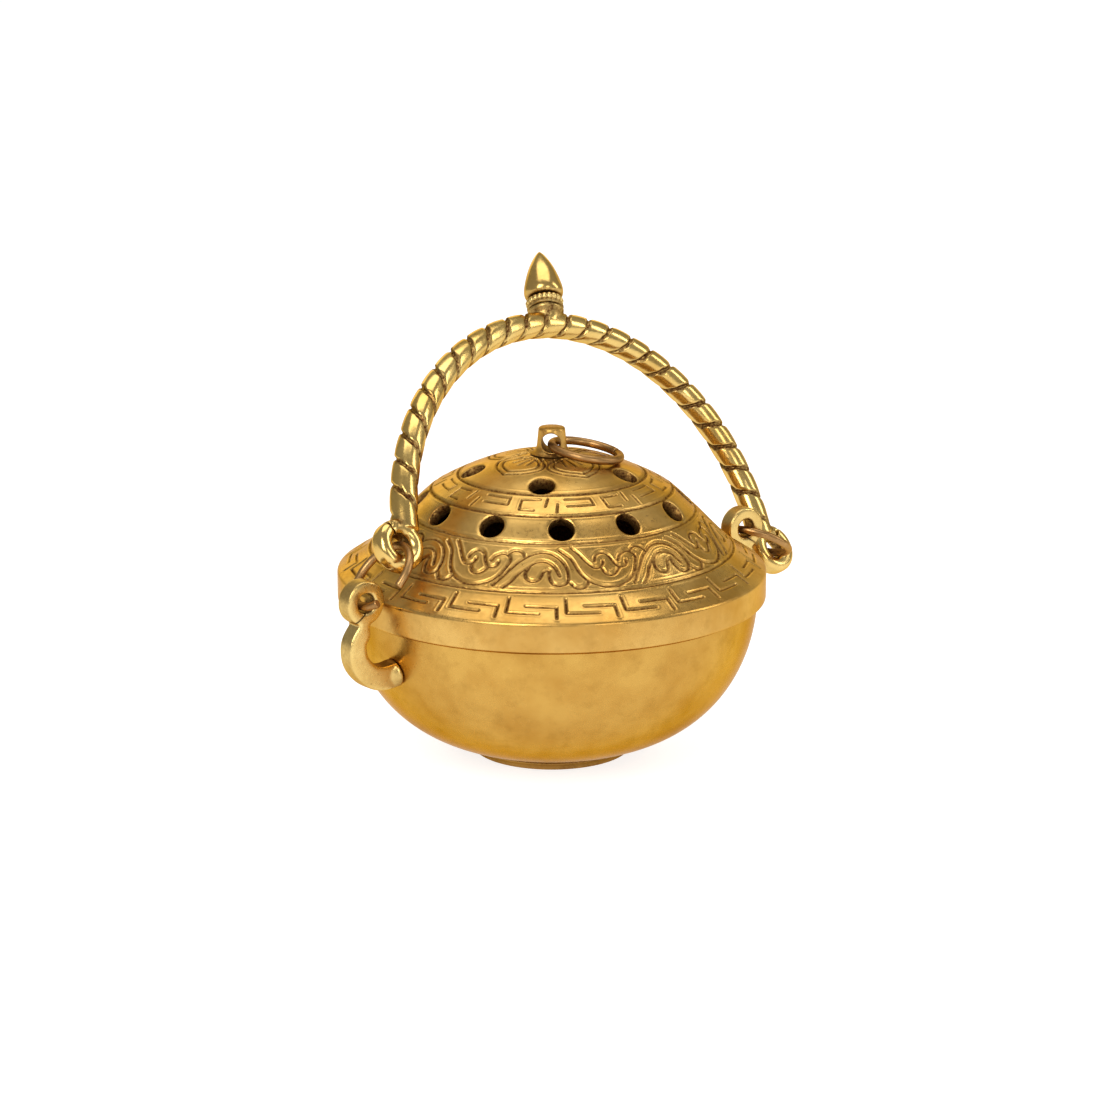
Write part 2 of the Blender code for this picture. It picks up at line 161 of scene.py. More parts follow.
def bake_modifiers(obj):
    """Apply an object's modifiers to its mesh."""
    bpy.context.view_layer.update()
    evaluated = obj.evaluated_get(bpy.context.evaluated_depsgraph_get())
    mesh = bpy.data.meshes.new_from_object(evaluated)
    obj.modifiers.clear()
    obj.data = mesh


def place(obj, matrix_mm):
    """Move a mesh by a matrix whose translation is in millimetres."""
    scaled = matrix_mm.copy()
    scaled.translation = matrix_mm.translation * MM
    obj.data.transform(scaled)
    return obj


def drill(radius, length, matrix_mm, segments=48):
    """A cylinder along the matrix's Z, as a tool for cut."""
    bm = bmesh.new()
    bmesh.ops.create_cone(bm, cap_ends=True, segments=segments, radius1=radius, radius2=radius, depth=length)
    obj = bpy.data.objects.new("drill", bpy.data.meshes.new("drill"))
    bm.to_mesh(obj.data)
    bm.free()
    obj.data.transform(Matrix.Scale(MM, 4))
    bpy.context.collection.objects.link(obj)
    return place(obj, matrix_mm)


def cast_smooth(obj, voxel, rounds, weight=None):
    """Remesh evenly and round all edges and joins, as in a casting; weight gives each point's share."""
    remesh = obj.modifiers.new("remesh", "REMESH")
    remesh.mode = "VOXEL"
    remesh.voxel_size = voxel * MM
    bake_modifiers(obj)
    points = vertices_mm(obj)
    edges = np.empty(len(obj.data.edges) * 2, int)
    obj.data.edges.foreach_get("vertices", edges)
    first, second = edges.reshape(-1, 2).T
    count = np.bincount(first, minlength=len(points)) + np.bincount(second, minlength=len(points))
    share = 0.6 * (np.ones(len(points)) if weight is None else weight(points))
    for _ in range(rounds):
        mean = np.stack([np.bincount(first, points[second, k], len(points))
                         + np.bincount(second, points[first, k], len(points)) for k in range(3)], axis=-1)
        points += share[:, None] * (mean / count[:, None] - points)
    obj.data.vertices.foreach_set("co", (points * MM).ravel())
    obj.data.update()


def piece(obj, name, body, node, material, sharp=40.0):
    """Name a finished piece, shade it, tie it to its body, and hide its node."""
    obj.name = name
    obj.data.name = name
    obj.data.materials.clear()
    obj.data.materials.append(material)
    obj.data.shade_smooth()
    obj.data.set_sharp_from_angle(angle=math.radians(sharp))
    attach(obj, body)
    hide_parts(node)
    return obj


def local_points(points, matrix_mm):
    """Points seen from a frame given by its matrix."""
    inverse = np.array(matrix_mm.inverted())
    return points @ inverse[:3, :3].T + inverse[:3, 3]


def set_patina_and_shade(obj, values):
    """How brown each vertex is, 0 to 1, from patina and from painted shade inside holes; the materials read
    it.
    """
    attribute = obj.data.attributes.new("patina_and_shade", "FLOAT", "POINT")
    attribute.data.foreach_set("value", np.clip(values, 0, 1).astype(np.float32))


def vertices_mm(obj):
    """An object's vertices in millimetres, one row each."""
    flat = np.empty(len(obj.data.vertices) * 3)
    obj.data.vertices.foreach_get("co", flat)
    return flat.reshape(-1, 3) / MM


def unevenness(p, size, seed=0.0):
    """A smooth repeatable unevenness between -1 and 1 with features of about this size."""
    q = p * (2.0 / size)
    x, y, z = q[..., 0] + seed, q[..., 1] - 1.7 * seed, q[..., 2] + 0.6 * seed
    a = np.sin(1.0 * x + 1.9 * np.sin(0.7 * y + 0.4)) * np.cos(0.8 * z - 0.9 * x)
    b = np.sin(1.3 * y - 0.8 * z + 1.4 * np.sin(0.9 * x)) * np.cos(0.5 * x + 1.1 * z)
    return 0.5 * (a + b)


# ---------------------------------------------------------------- materials

def brass(name, bright, deep, roughness, wear=1.0, patina_and_shade=0.85, pits=0.0):
    """Cast brass: cloudy colour, fine polishing marks, and brown patina where it is hollow; the per-vertex
    patina attribute also carries painted shade inside holes.
    """
    material = bpy.data.materials.new(name)
    material.use_nodes = True
    nodes, links = material.node_tree.nodes, material.node_tree.links
    shader = nodes["Principled BSDF"]
    shader.inputs["Metallic"].default_value = 1.0
    shader.inputs["IOR"].default_value = 1.5
    shader.inputs["Specular Tint"].default_value = EDGE_TINT

    def noise(scale, detail=4.0, rough=0.55, stretch=None):
        node = nodes.new("ShaderNodeTexNoise")
        node.inputs["Scale"].default_value = scale
        node.inputs["Detail"].default_value = detail
        node.inputs["Roughness"].default_value = rough
        source = place_node.outputs["Object"]
        if stretch:
            mapping = nodes.new("ShaderNodeMapping")
            mapping.inputs["Scale"].default_value = stretch
            links.new(source, mapping.inputs["Vector"])
            source = mapping.outputs["Vector"]
        links.new(source, node.inputs["Vector"])
        return node.outputs["Fac"]

    def remap(value, low, high, to_low, to_high):
        node = nodes.new("ShaderNodeMapRange")
        node.inputs["From Min"].default_value = low
        node.inputs["From Max"].default_value = high
        node.inputs["To Min"].default_value = to_low
        node.inputs["To Max"].default_value = to_high
        links.new(value, node.inputs["Value"])
        return node.outputs["Result"]

    def math_node(operation, first, second):
        node = nodes.new("ShaderNodeMath")
        node.operation = operation
        node.use_clamp = operation in ("ADD", "MAXIMUM")
        for socket, value in zip(node.inputs, (first, second)):
            if isinstance(value, (int, float)):
                socket.default_value = value
            else:
                links.new(value, socket)
        return node.outputs["Value"]

    def mix(factor, first, second):
        node = nodes.new("ShaderNodeMix")
        node.data_type = "RGBA"
        links.new(factor, node.inputs[0])
        for socket, value in ((node.inputs[6], first), (node.inputs[7], second)):
            if isinstance(value, tuple):
                socket.default_value = (*value, 1.0)
            else:
                links.new(value, socket)
        return node.outputs[2]

    place_node = nodes.new("ShaderNodeTexCoord")
    cloud = remap(noise(70.0, 3.0), 0.35, 0.68, 0.0, 1.0)
    base = mix(cloud, bright, deep)
    streak = remap(noise(260.0, 5.0, 0.65), 0.5, 0.72, 0.0, 0.35 * wear)
    base = mix(streak, base, tuple(0.72 * c for c in deep))

    attribute = nodes.new("ShaderNodeAttribute")
    attribute.attribute_name = "patina_and_shade"
    hollow = nodes.new("ShaderNodeAmbientOcclusion")
    hollow.only_local = True
    hollow.samples = 8
    hollow.inputs["Distance"].default_value = 1.6 * MM
    cavity = remap(hollow.outputs["AO"], 0.35, 0.85, 0.75, 0.0)
    grain = remap(noise(1500.0, 3.0, 0.6), 0.3, 0.7, 0.45, 1.15)
    # Brown from the per-vertex attribute (patina, plus painted shade inside holes) or from hollows, whichever
    # is stronger
    dirt_and_shade = math_node("MULTIPLY", math_node("MAXIMUM", attribute.outputs["Fac"], cavity), grain)
    if pits:
        cells = nodes.new("ShaderNodeTexVoronoi")
        cells.inputs["Scale"].default_value = 420.0
        links.new(place_node.outputs["Object"], cells.inputs["Vector"])
        spots = remap(cells.outputs["Distance"], 0.05, 0.13, 1.0, 0.0)
        patches = remap(noise(90.0, 2.0), 0.52, 0.66, 0.0, pits)
        dirt_and_shade = math_node("MAXIMUM", dirt_and_shade, math_node("MULTIPLY", spots, patches))
    dirt_and_shade = math_node("MULTIPLY", dirt_and_shade, patina_and_shade)
    colour = mix(dirt_and_shade, base, PATINA_AND_SHADE_COLOUR)
    links.new(colour, shader.inputs["Base Color"])

    fine = remap(noise(900.0, 4.0, 0.6), 0.3, 0.7, roughness - 0.05, roughness + 0.07)
    blotch = remap(noise(45.0, 3.0), 0.4, 0.7, 0.0, 0.08 * wear)
    rough = math_node("ADD", fine, blotch)
    rough = math_node("ADD", rough, math_node("MULTIPLY", dirt_and_shade, 0.28))
    links.new(rough, shader.inputs["Roughness"])

    bump = nodes.new("ShaderNodeBump")
    bump.inputs["Strength"].default_value = 0.35
    bump.inputs["Distance"].default_value = 0.05 * MM
    scratches = noise(500.0, 5.0, 0.7, stretch=(1.0, 1.0, 7.0))
    casting = noise(1600.0, 3.0, 0.6)
    relief = math_node("ADD", math_node("MULTIPLY", scratches, 0.5), math_node("MULTIPLY", casting, 0.5))
    links.new(relief, bump.inputs["Height"])
    links.new(bump.outputs["Normal"], shader.inputs["Normal"])
    return material


GOLD = brass("polished_brass", (0.56, 0.325, 0.074), (0.44, 0.225, 0.042), 0.25)
ENGRAVED = brass("engraved_brass", (0.63, 0.385, 0.11), (0.50, 0.27, 0.06), 0.27, wear=1.2, patina_and_shade=1.0)
ROPE_GOLD = brass("rope_brass", (0.73, 0.51, 0.175), (0.62, 0.39, 0.105), 0.18, patina_and_shade=1.0)
BUD_GOLD = brass("bud_brass", (0.68, 0.46, 0.15), (0.58, 0.36, 0.10), 0.19, pits=0.5)
PALE = brass("burnished_brass", (0.76, 0.55, 0.20), (0.64, 0.42, 0.13), 0.24, pits=0.8)
DARK = brass("patinated_brass", (0.44, 0.24, 0.06), (0.32, 0.15, 0.035), 0.34, wear=1.5)
WIRE = brass("copper_wire", (0.50, 0.29, 0.11), (0.36, 0.19, 0.065), 0.27, wear=1.3)


# ---------------------------------------------------------------- engraving of the lid

LID_OUTER = (
    (2.3, 76.62), (6.3, 76.35), (12.6, 75.5), (18.2, 73.8), (23.5, 71.5), (30.3, 67.85), (36.1, 62.6),
    (45.7, 53.1), (53.0, 48.1),
)
LID_INNER = ((46.3, 47.6), (43.9, 50.5), (34.3, 60.3), (28.8, 65.3), (22.4, 68.7), (12.0, 72.7), (2.3, 73.85))
BAND_LINES = (45.7, 36.1, 30.3, 23.5)
FINE_LINES = ((45.7, -1.0), (36.1, 0.9), (23.5, -0.8))  # beside a band line, and how far down the slope
PETALS_EDGE = 19.0
LID_EDGE = 53.0                        # where the sloping top ends
RING_HOLES = {"count": 12, "from_axis": 33.2, "height": 65.35, "radius": 3.15, "tilt": 42.4, "first": 237.0}
TOP_HOLES = {"count": 5, "from_axis": 20.0, "height": 72.9, "radius": 3.2, "tilt": 20.2, "first": 226.0}
SCROLL_UNITS, SCROLL_MIDDLE = 8, 40.9   # units round the band, and the radius of the band's middle
HUMP_AZIMUTH = 229.6                   # the middle of the front unit
MEANDER_UNITS, MEANDER_START = 22, 236.0
BRACKET_UNITS, BRACKET_START = 8, 229.0

MEANDER = (                            # along the band, up the slope, in mm
    ((0.8, 6.9), (0.8, 2.5), (8.4, 2.3)),
    ((5.2, 4.6), (12.6, 4.4), (12.6, 0.8)),
)
BRACKETS = (
    ((0.3, 3.3), (0.8, 6.3)),
    ((3.0, 1.2), (3.3, 4.4)),
    ((5.2, 5.9), (12.0, 5.9), (12.2, 3.4), (5.6, 3.4)),
    ((20.0, 5.9), (15.2, 5.6), (15.4, 2.0), (18.8, 1.9)),
)
CREST, TROUGH = (0.0, 4.9), (15.9, 9.2)  # centres of the vine's bends, from the middle of a unit
SCROLL = (
    [(-10.8, 1.6), (-8.2, 5.4), (-5.9, 8.2)] + arc(CREST, 6.2, 130, 0, 8) + arc((4.1, 4.2), 2.2, -30, -140, 4)
    + [(1.7, 5.0), (1.9, 6.1)],
    [(-8.5, 1.1), (-6.9, 2.8), (-5.2, 5.4)] + arc(CREST, 3.75, 130, 30, 6) + [(3.8, 5.6), (4.2, 4.6)],
    [(-3.1, 7.0)] + arc((-1.9, 5.0), 1.9, 170, 320, 6) + [(0.4, 5.6), (1.6, 6.3)],
    [(4.3, 11.7), (7.1, 9.4)] + arc(TROUGH, 7.9, 200, 340, 10) + arc((22.1, 8.3), 2.1, 10, 120, 5)
    + [(19.9, 9.4), (19.2, 8.2)],
    [(7.6, 12.2), (9.2, 10.6), (10.9, 8.4)] + arc((13.3, 8.5), 1.9, 240, 355, 5),
    arc((15.2, 8.4), 2.2, 180, 10, 7) + arc((19.6, 8.1), 1.7, 200, 355, 6),
    arc((16.4, 6.2), 1.8, 180, 320, 6) + [(18.9, 6.2)],
    arc((8.6, 3.3), 2.1, 200, 350, 6),
    arc((-6.8, 8.9), 2.5, 140, 25, 5),
)
# Half a petal's outline, and its ribs as angle, start and end from the axis
PETAL = ((-0.9, 5.4), (-5.6, 8.4), (-6.9, 11.6), (-4.4, 15.2), (0.0, 17.5))
PETAL_MIDDLE, PETAL_INNER = (0.0, 10.8), 0.76
RIBS = ((-0.42, 6.4, 9.6), (-0.2, 6.4, 11.5), (0.0, 6.4, 12.2), (0.2, 6.4, 11.5), (0.42, 6.4, 9.6))


def segments_of(lines, shift=(0.0, 0.0), steps=0):
    """Line segments (x1, y1, x2, y2) of several polylines, rounded when steps is given."""
    out = []
    for line in lines:
        points = smooth(line, steps) if steps else np.asarray(line, float)
        points = points + np.asarray(shift)
        out.append(np.hstack([points[:-1], points[1:]]))
    return np.vstack(out)


def repeated(segments, period):
    """The same segments one period to either side, so that a unit's edges see their neighbours."""
    step = np.array([period, 0.0, period, 0.0])
    return np.vstack([segments - step, segments, segments + step])


def distance(x, y, segments):
    """Distance from each point to the nearest segment."""
    best = np.full(x.shape, 1e9)
    for x1, y1, x2, y2 in segments:
        dx, dy = x2 - x1, y2 - y1
        length = dx * dx + dy * dy + 1e-12
        t = np.clip(((x - x1) * dx + (y - y1) * dy) / length, 0.0, 1.0)
        best = np.minimum(best, (x - x1 - t * dx) ** 2 + (y - y1 - t * dy) ** 2)
    return np.sqrt(best)


def groove(d, half_width):
    """Depth of an engraved line, 0 to 1, with a small raised burr on either side."""
    burr = 0.22 * np.exp(-((d - 1.9 * half_width) / (0.7 * half_width)) ** 2)
    return np.exp(-(d / half_width) ** 2 * 1.3) - burr


def engraving(radius, azimuth, slope):
    """Depth in mm of the lid's engraving, for points given by radius, azimuth and slope length."""
    depth = np.zeros_like(radius)
    line_slopes = {r: slope_at(r) for r in (LID_EDGE,) + BAND_LINES}

    for r in BAND_LINES:
        d = np.abs(slope - line_slopes[r])
        depth += 0.34 * groove(d, 0.42)
    for r, offset in FINE_LINES:
        d = np.abs(slope - line_slopes[r] - offset)
        depth += 0.16 * groove(d, 0.28)

    def band(low, high, unit, start, segments, scale, half_width):
        inside = (radius < low) & (radius > high)
        middle = 0.5 * (low + high)
        period = math.radians(unit) * middle
        along = np.mod(np.radians(azimuth[inside] - start), math.radians(unit)) * middle
        up = line_slopes[low] - slope[inside]
        depth[inside] += scale * groove(distance(along, up, repeated(segments, period)), half_width)

    outer, scroll_top, bracket_foot, bracket_top = BAND_LINES
    band(LID_EDGE, outer, 360.0 / MEANDER_UNITS, MEANDER_START, segments_of(MEANDER), 0.34, 0.33)
    unit = 360.0 / SCROLL_UNITS
    half_unit = math.radians(unit) * SCROLL_MIDDLE / 2
    scroll = segments_of(SCROLL, (half_unit, 0.0), 5)
    band(outer, scroll_top, unit, HUMP_AZIMUTH - unit / 2, scroll, 0.36, 0.40)
    band(bracket_foot, bracket_top, 360.0 / BRACKET_UNITS, BRACKET_START, segments_of(BRACKETS), 0.24, 0.28)

    inside = radius < PETALS_EDGE
    turn = np.radians(np.mod(azimuth[inside] - TOP_HOLES["first"], 72.0) - 36.0)
    across, out = radius[inside] * np.sin(turn), radius[inside] * np.cos(turn)
    outline = smooth(PETAL, 6)
    inner = (outline - PETAL_MIDDLE) * PETAL_INNER + PETAL_MIDDLE
    lines = [outline, outline * (-1, 1), inner, inner * (-1, 1)]
    petal = distance(across, out, segments_of(lines))
    ribs = [[(r * math.sin(a), r * math.cos(a)) for r in (start, end)] for a, start, end in RIBS]
    rib = distance(across, out, segments_of(ribs))
    depth[inside] += 0.3 * groove(petal, 0.3) + 0.2 * groove(rib, 0.28)
    return depth


CURVE = smooth(LID_OUTER, 40)
CURVE_LENGTH = np.concatenate([[0.0], np.cumsum(np.linalg.norm(np.diff(CURVE, axis=0), axis=1))])


def slope_at(radius):
    """Length along the lid's outside, from its top to this radius."""
    return np.interp(radius, CURVE[:, 0], CURVE_LENGTH)


def hole_frames(holes):
    """The frame of each smoke hole in a ring of them, Z along the hole."""
    for k in range(holes["count"]):
        turn = Matrix.Rotation(math.radians(holes["first"] + 360.0 * k / holes["count"]), 4, "Z")
        at = Matrix.Translation((holes["from_axis"], 0.0, holes["height"]))
        yield turn @ at @ Matrix.Rotation(math.radians(holes["tilt"]), 4, "Y")


def hole_edge_rounding(points):
    """How far the surface dips towards the edge of the smoke holes."""
    dip = np.zeros(len(points))
    for holes in (RING_HOLES, TOP_HOLES):
        for matrix in hole_frames(holes):
            local = local_points(points, matrix)
            d = np.hypot(local[:, 0], local[:, 1]) - holes["radius"]
            near = (np.abs(local[:, 2]) < 4.0) & (d < 1.5)
            dip[near] = np.maximum(dip[near], 0.32 * np.exp(-np.clip(d[near], -0.2, 9) / 0.3))
    return dip


def build_lid():
    segments, step = 1200, 0.26
    lengths = np.append(np.arange(0.0, slope_at(LID_EDGE), step), slope_at(LID_EDGE))
    top = np.stack([np.interp(lengths, CURVE_LENGTH, CURVE[:, k]) for k in (0, 1)], axis=-1)
    tangent = np.gradient(top, axis=0)
    tangent /= np.linalg.norm(tangent, axis=1, keepdims=True)
    normal = np.stack([-tangent[:, 1], tangent[:, 0]], axis=-1)
    azimuth = np.linspace(0.0, 360.0, segments, endpoint=False)
    rr, aa = np.meshgrid(top[:, 0], azimuth, indexing="ij")
    ss = np.meshgrid(lengths, azimuth, indexing="ij")[0]
    depth = engraving(rr, aa, ss)
    edge = arc((52.9, 46.9), 1.1, 50, 0, 6) + [(54.0, 44.0), (54.0, 41.4)] + arc((53.5, 40.9), 0.5, 0, -90, 4)
    lower = [(48.3, 40.35), (48.3, 38.5), (48.1, 38.3), (46.5, 38.3), (46.3, 38.5)] + list(LID_INNER)
    rest = np.array(edge + lower)

    def ring(r, z):
        turn = np.radians(azimuth)
        return np.stack([r * np.cos(turn), r * np.sin(turn), np.broadcast_to(z, turn.shape)], axis=-1)

    rings = np.stack([ring(r, z) for r, z in top] + [ring(r, z) for r, z in rest])
    outer = rings[:len(top)]
    rough = 1.0 + 0.28 * unevenness(outer, 2.2) + 0.16 * unevenness(outer, 0.9, 3.0)
    cos, sin = np.cos(np.radians(azimuth)), np.sin(np.radians(azimuth))
    upward = np.repeat(normal[:, 1:], segments, 1)
    direction = np.stack([normal[:, :1] * cos, normal[:, :1] * sin, upward], axis=-1)
    dip = hole_edge_rounding(outer.reshape(-1, 3)).reshape(depth.shape)
    sink = np.clip(depth, 0, None) * rough + np.minimum(depth, 0) + dip
    sink -= 0.03 * unevenness(outer, 9.0, 5.0)
    rings[:len(top)] = outer - direction * sink[..., None]
    lid = tube("lid", rings, closed=True)
    for holes in (RING_HOLES, TOP_HOLES):
        cut(lid, [drill(holes["radius"], 12.0, matrix) for matrix in hole_frames(holes)])

    points = vertices_mm(lid)
    radius = np.hypot(points[:, 0], points[:, 1])
    below_top = np.interp(radius, CURVE[:, 0], CURVE[:, 1]) - points[:, 2]
    outside = (below_top < 1.2) & (radius < 53.2)
    patina_and_shade = np.zeros(len(points))
    azimuths = np.degrees(np.arctan2(points[outside, 1], points[outside, 0])) % 360.0
    depths = engraving(radius[outside], azimuths, slope_at(radius[outside]))
    patina_and_shade[outside] = np.clip(depths / 0.17, 0, 1) ** 1.1
    # The lid's underside and the smoke holes' walls are darkened: brown patina, plus painted shade for the
    # dark seen in and through the holes
    patina_and_shade[~outside & (below_top > 1.3) & (radius < 46.4)] = 0.8
    for holes in (RING_HOLES, TOP_HOLES):
        for matrix in hole_frames(holes):
            local = local_points(points, matrix)
            wall = (np.hypot(local[:, 0], local[:, 1]) < holes["radius"] + 0.05) & (np.abs(local[:, 2]) < 6)
            patina_and_shade[wall] = 0.95
    set_patina_and_shade(lid, patina_and_shade)
    piece(lid, "engraved_lid", "lid", "lid_dome", ENGRAVED, sharp=60.0)


# ---------------------------------------------------------------- bowl and foot

BOWL_RADIUS, BOWL_DEPTH, BOWL_BOTTOM = 52.0, 41.5, 2.9
INSIDE_RADIUS, INSIDE_DEPTH, INSIDE_BOTTOM = 48.9, 37.0, 5.6
EQUATOR, POWER_Z, POWER_R = 42.6, 2.11, 2.84


def superellipse(radius, depth, z_start, z_end, count):
    """The bowl's side view between two heights, as (radius, height) points."""
    def angle_at(z):
        return math.asin(min(1.0, (EQUATOR - z) / depth) ** (POWER_Z / 2))

    angles = np.linspace(angle_at(z_start), angle_at(z_end), count)
    return [(radius * max(0.0, math.cos(a)) ** (2 / POWER_R), EQUATOR - depth * math.sin(a) ** (2 / POWER_Z))
            for a in angles]


def build_bowl():
    outer = superellipse(BOWL_RADIUS, BOWL_DEPTH, BOWL_BOTTOM, 39.6, 70)
    inner = superellipse(INSIDE_RADIUS, INSIDE_DEPTH, 39.6, INSIDE_BOTTOM, 50)[:-1]
    rim = [(51.7, 39.9), (51.4, 40.0), (49.4, 40.0), (49.1, 39.9)]
    bowl = turned("bowl", [(0.0, BOWL_BOTTOM)] + outer + rim + inner + [(0.0, INSIDE_BOTTOM)], 256)
    points = vertices_mm(bowl)
    radius = np.hypot(points[:, 0], points[:, 1])
    inside = radius < np.interp(points[:, 2], [z for _, z in outer], [r for r, _ in outer]) - 1.0
    soot = np.where(inside & (points[:, 2] > 4.0), 0.75, 0.0)
    base = 0.55 * np.exp(-((points[:, 2] - BOWL_BOTTOM) / 1.1) ** 2) * (radius > 15)
    set_patina_and_shade(bowl, np.maximum(soot, base))
    piece(bowl, "bowl_body", "bowl", "bowl_shell", GOLD)


def build_foot():
    profile = [(0.0, 0.0), (7.0, 0.0), (7.8, 0.8), (15.2, 0.8), (16.0, 0.0)]
    profile += arc((19.7, 0.5), 0.5, -90, 0, 5) + [(20.3, 1.0), (20.9, 1.5)]
    profile += arc((21.0, 2.0), 0.4, -40, 60, 5) + [(20.8, 2.5), (20.3, 2.6), (0.0, 2.6)]
    foot = turned("foot", profile, 200)
    points = vertices_mm(foot)
    set_patina_and_shade(foot, 0.4 + 0.3 * unevenness(points, 6.0))
    piece(foot, "turned_foot", "bowl", "foot", DARK)


# ---------------------------------------------------------------- lugs

LUG_STROKE = (                         # outward and up from the eye, and half-width
    (-1.6, -4.6, 2.5), (0.2, -6.6, 2.3), (1.4, -8.1, 2.35), (2.4, -9.9, 2.45), (2.5, -12.2, 2.6),
    (1.8, -14.9, 2.7), (-0.4, -17.6, 2.85), (-3.4, -19.4, 3.0), (-7.0, -19.8, 3.1), (-11.5, -19.0, 3.1),
)
LUG_AZIMUTHS = {"left_lug": 183.7, "right_lug": -3.0}
LUG_CENTRE = (60.2, 49.0)               # of the eye: from the axis, and height
LUG_THICKNESS, LUG_EYE_RADIUS, LUG_HOLE_RADIUS = 4.6, 5.51, 2.4
LUG_END, LUG_END_RADIUS = (-10.2, -19.3), 3.7
LUG_SEAM, LUG_SEAM_SLOPE = (2.5, -3.95), 34.0
LUG_SEAM_LENGTH, LUG_SEAM_WIDTH = 5.4, 0.3


def lug_blank():
    """The lug's side view extruded, in its own frame: X outward, Z up, eye at the origin."""
    stroke = smooth(LUG_STROKE, 5)
    centre, width = stroke[:, :2], stroke[:, 2:]
    along = np.gradient(centre, axis=0)
    along /= np.linalg.norm(along, axis=1, keepdims=True)
    left = np.stack([-along[:, 1], along[:, 0]], axis=-1)
    skip = 5
    outer_edge, inner_edge = (centre + left * width)[skip:], (centre - left * width)[skip:]
    leave, arrive = outer_edge[0], inner_edge[0]
    start = math.degrees(math.atan2(leave[1], leave[0]))
    end = math.degrees(math.atan2(arrive[1], arrive[0]))
    eye = np.array(arc((0.0, 0.0), LUG_EYE_RADIUS, start, start + (end - start) % 360.0, 60))
    outline = np.vstack([eye, inner_edge[1:], outer_edge[:0:-1]])
    half = LUG_THICKNESS / 2
    count = len(outline)
    verts = [(x, -half, z) for x, z in outline] + [(x, half, z) for x, z in outline]
    faces = [list(range(count)), list(range(2 * count - 1, count - 1, -1))]
    faces += [[k, (k + 1) % count, count + (k + 1) % count, count + k] for k in range(count)]
    blank = new_object("lug", verts, faces)
    outward(blank)
    bevel = blank.modifiers.new("bevel", "BEVEL")
    bevel.width = 0.5 * MM
    bevel.segments = 4
    bevel.limit_method = "ANGLE"
    bevel.angle_limit = math.radians(50)
    bake_modifiers(blank)
    return blank


def box(length, width, height):
    """A block round the origin."""
    corners = [(x, y, z) for x in (-0.5, 0.5) for y in (-0.5, 0.5) for z in (-0.5, 0.5)]
    faces = [[0, 1, 3, 2], [4, 6, 7, 5], [0, 4, 5, 1], [2, 3, 7, 6], [0, 2, 6, 4], [1, 5, 7, 3]]
    obj = new_object("box", np.array(corners) * (length, width, height), faces)
    outward(obj)
    return obj


def rounded_hole(radius, thickness, mouth):
    """A hole's space with rounded mouths, as a tool turned about Z."""
    half, wide = thickness / 2, radius + 1.5 * mouth
    profile = [(0.0, -2 * thickness), (wide, -2 * thickness)]
    for sign, start, end in ((-1, 80, 0), (1, 0, 80)):
        for angle in np.radians(np.linspace(start, end, 10)):
            height = half - mouth + mouth * math.sin(angle)
            profile.append((radius + mouth * (1 - math.cos(angle)), sign * height))
    return turned("hole", profile + [(wide, 2 * thickness), (0.0, 2 * thickness)], 64)


def build_lugs():
    for node, azimuth in LUG_AZIMUTHS.items():
        lug = lug_blank()
        r = LUG_END_RADIUS
        end = turned("end", [(0.0, -r)] + arc((0.0, 0.0), r, -84, 84, 16) + [(0.0, r)], 64)
        cut(lug, [place(end, Matrix.Translation((LUG_END[0], 0.0, LUG_END[1])))], "UNION")
        hole = rounded_hole(LUG_HOLE_RADIUS, LUG_THICKNESS, 0.5)
        cut(lug, [place(hole, Matrix.Rotation(math.pi / 2, 4, "X"))])
        turn = Matrix.Rotation(math.radians(azimuth), 4, "Z")
        stand = turn @ Matrix.Translation((LUG_CENTRE[0], 0.0, LUG_CENTRE[1]))
        place(lug, stand)
        wall = superellipse(BOWL_RADIUS, BOWL_DEPTH, BOWL_BOTTOM, 40.0, 60)
        shell = [(0.0, BOWL_BOTTOM)] + [(r + 0.1, z) for r, z in wall] + [(0.0, 40.0)]
        cut(lug, [turned("clearance", shell, 256)])
        cast_smooth(lug, 0.19, 26)
        seam_place = stand @ Matrix.Translation((LUG_SEAM[0], 0.0, LUG_SEAM[1]))
        seam_place = seam_place @ Matrix.Rotation(math.radians(LUG_SEAM_SLOPE), 4, "Y")
        cut(lug, [place(box(LUG_SEAM_LENGTH, 6.0, LUG_SEAM_WIDTH), seam_place)])
        points = vertices_mm(lug)
        reach = np.hypot(points[:, 0], points[:, 1])
        low = np.clip((32.5 - points[:, 2]) / 4.0, 0, 1) * np.clip((55.0 - reach) / 4.0, 0, 1)
        side = "left" if node == "left_lug" else "right"
        across = np.array(turn)[:3, 1]
        normals = np.empty(len(points) * 3)
        lug.data.vertices.foreach_get("normal", normals)
        rim = np.clip(1.15 - 1.6 * np.abs(normals.reshape(-1, 3) @ across), 0, 1)
        patina_and_shade = np.maximum(0.4 * rim, 0.5 * low)
        local = local_points(points, stand)
        # The eye's hole wall is darkened: brown patina, plus painted shade inside the hole
        patina_and_shade = np.maximum(patina_and_shade, 0.95 * (np.hypot(local[:, 0], local[:, 2]) < LUG_HOLE_RADIUS + 0.25))
        local = local_points(points, seam_place)
        near_seam = np.exp(-(local[:, 2] / 0.3) ** 2) * (np.abs(local[:, 0]) < LUG_SEAM_LENGTH / 2)
        patina_and_shade = np.maximum(patina_and_shade, 0.95 * near_seam)
        set_patina_and_shade(lug, patina_and_shade)
        piece(lug, side + "_scroll_lug", "bowl", node, PALE, sharp=35.0)


# ---------------------------------------------------------------- handle

